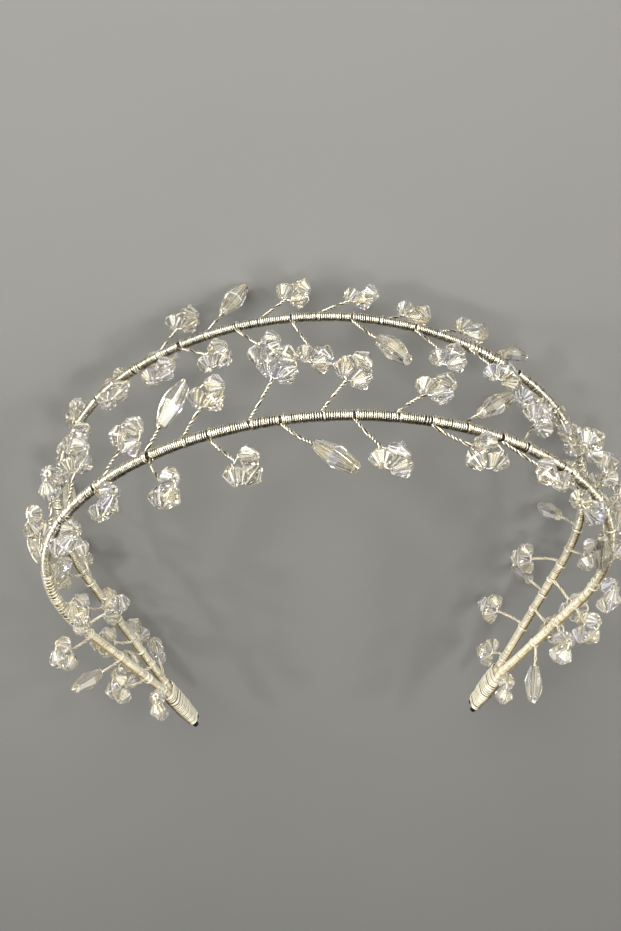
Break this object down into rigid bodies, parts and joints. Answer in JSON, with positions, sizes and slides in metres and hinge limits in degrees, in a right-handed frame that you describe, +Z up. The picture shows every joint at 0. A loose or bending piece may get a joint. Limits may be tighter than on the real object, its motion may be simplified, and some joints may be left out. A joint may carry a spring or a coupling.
{
  "type": "beaded wire tiara",
  "caption": "Two curved wire bands wound with silver wire, joined at both ends, with twisted stems carrying clusters of faceted clear crystals and long cut drops.",
  "frame": {"origin": "middle of the footprint, on the surface that the tiara lies on", "axes": "+X across the head to the right in the picture, +Y from the ends to the top of the arch, +Z up from the surface; the tiara lies on its back band"},
  "size_m": [0.1404, 0.1256, 0.072],
  "materials": {
    "dark_wire": "dark drawn wire, seen at the tips",
    "silver_wire": "bright warm silver wire, close wound",
    "cut_glass": "clear cut glass with a faint violet and yellow sheen"
  },
  "bodies": {
    "root": {"front_core": "dark_wire", "back_core": "dark_wire", "front_top_winding": "silver_wire", "front_left_temple_winding": "silver_wire", "front_right_temple_winding": "silver_wire", "front_left_arm_winding": "silver_wire", "front_right_arm_winding": "silver_wire", "back_top_winding": "silver_wire", "back_left_temple_winding": "silver_wire", "back_right_temple_winding": "silver_wire", "back_left_arm_winding": "silver_wire", "back_right_arm_winding": "silver_wire", "left_binding": "silver_wire", "right_binding": "silver_wire", "front_crystals": "cut_glass", "back_crystals": "cut_glass", "front_drop_1": "cut_glass", "front_drop_2": "cut_glass", "front_drop_3": "cut_glass", "front_drop_4": "cut_glass", "front_drop_5": "cut_glass", "front_drop_6": "cut_glass", "front_drop_7": "cut_glass", "back_drop_1": "cut_glass", "back_drop_2": "cut_glass", "back_drop_3": "cut_glass", "back_drop_4": "cut_glass", "back_drop_5": "cut_glass", "back_drop_6": "cut_glass"}
  },
  "joints": []
}
